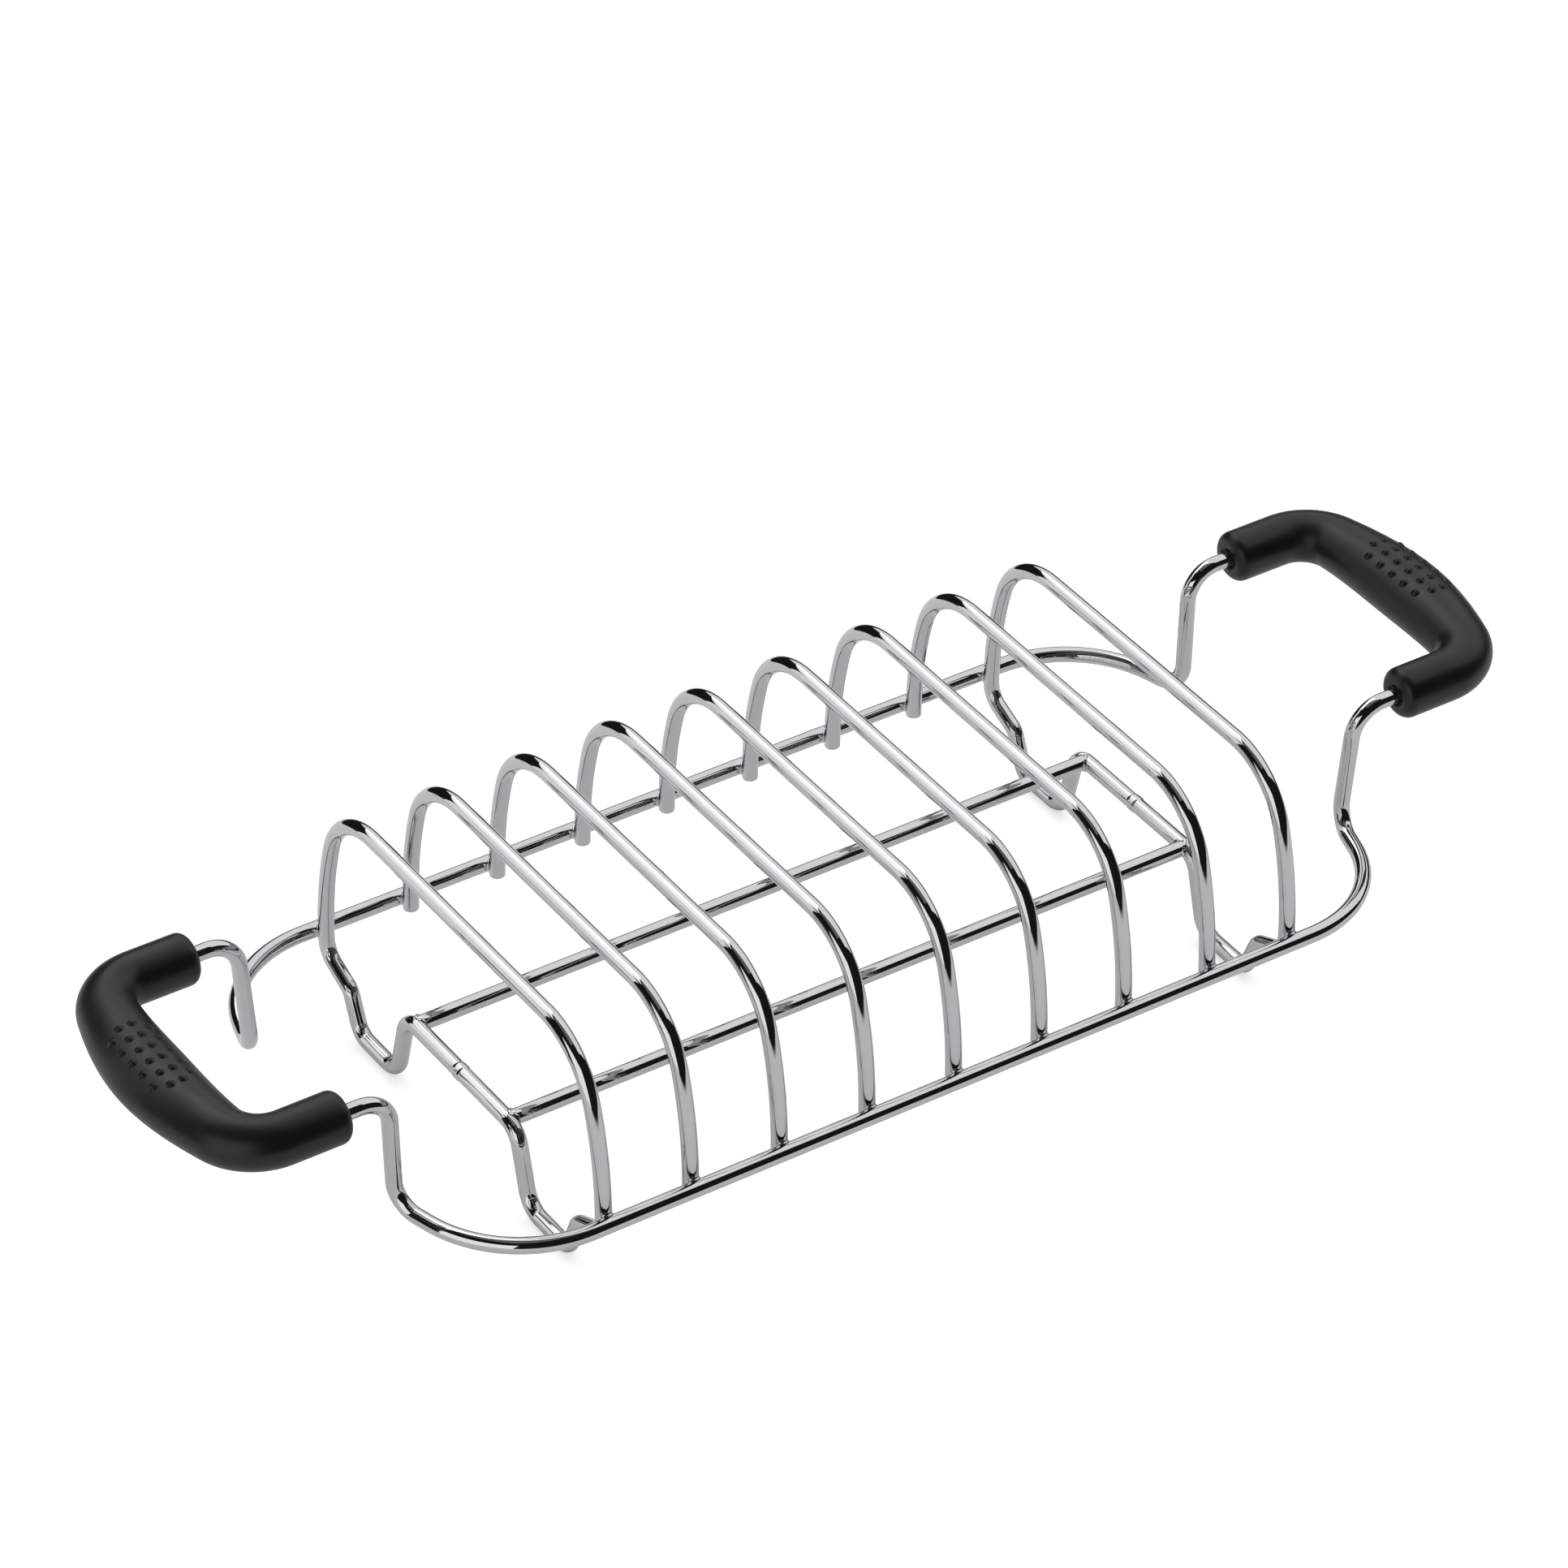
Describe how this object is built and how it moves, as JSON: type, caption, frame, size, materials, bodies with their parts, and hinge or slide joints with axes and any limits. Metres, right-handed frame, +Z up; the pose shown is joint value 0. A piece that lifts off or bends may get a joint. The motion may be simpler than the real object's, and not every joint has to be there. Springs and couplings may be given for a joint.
{
  "type": "toast rack",
  "caption": "Chromed wire toast rack: a row of arched hoops on two side rails, closed end rings bent down into feet, and a black C-shaped grip at each end.",
  "frame": {"origin": "on the table, under the middle of the rack, midway between the four feet", "axes": "+X along the rack to the right grip, +Y across it to the back rail, +Z up"},
  "size_m": [0.3868, 0.1402, 0.0705],
  "materials": {
    "chromed_wire": "bright polished chrome plate on drawn steel wire",
    "black_grip_plastic": "fine matte moulding with a soft sheen"
  },
  "bodies": {
    "root": {"front_rail": "chromed_wire", "back_rail": "chromed_wire", "left_end_ring": "chromed_wire", "right_end_ring": "chromed_wire", "front_centre_rod": "chromed_wire", "back_centre_rod": "chromed_wire", "toast_hoop_1": "chromed_wire", "toast_hoop_2": "chromed_wire", "toast_hoop_3": "chromed_wire", "toast_hoop_4": "chromed_wire", "toast_hoop_5": "chromed_wire", "toast_hoop_6": "chromed_wire", "toast_hoop_7": "chromed_wire", "left_grip": "black_grip_plastic", "right_grip": "black_grip_plastic"}
  },
  "joints": []
}
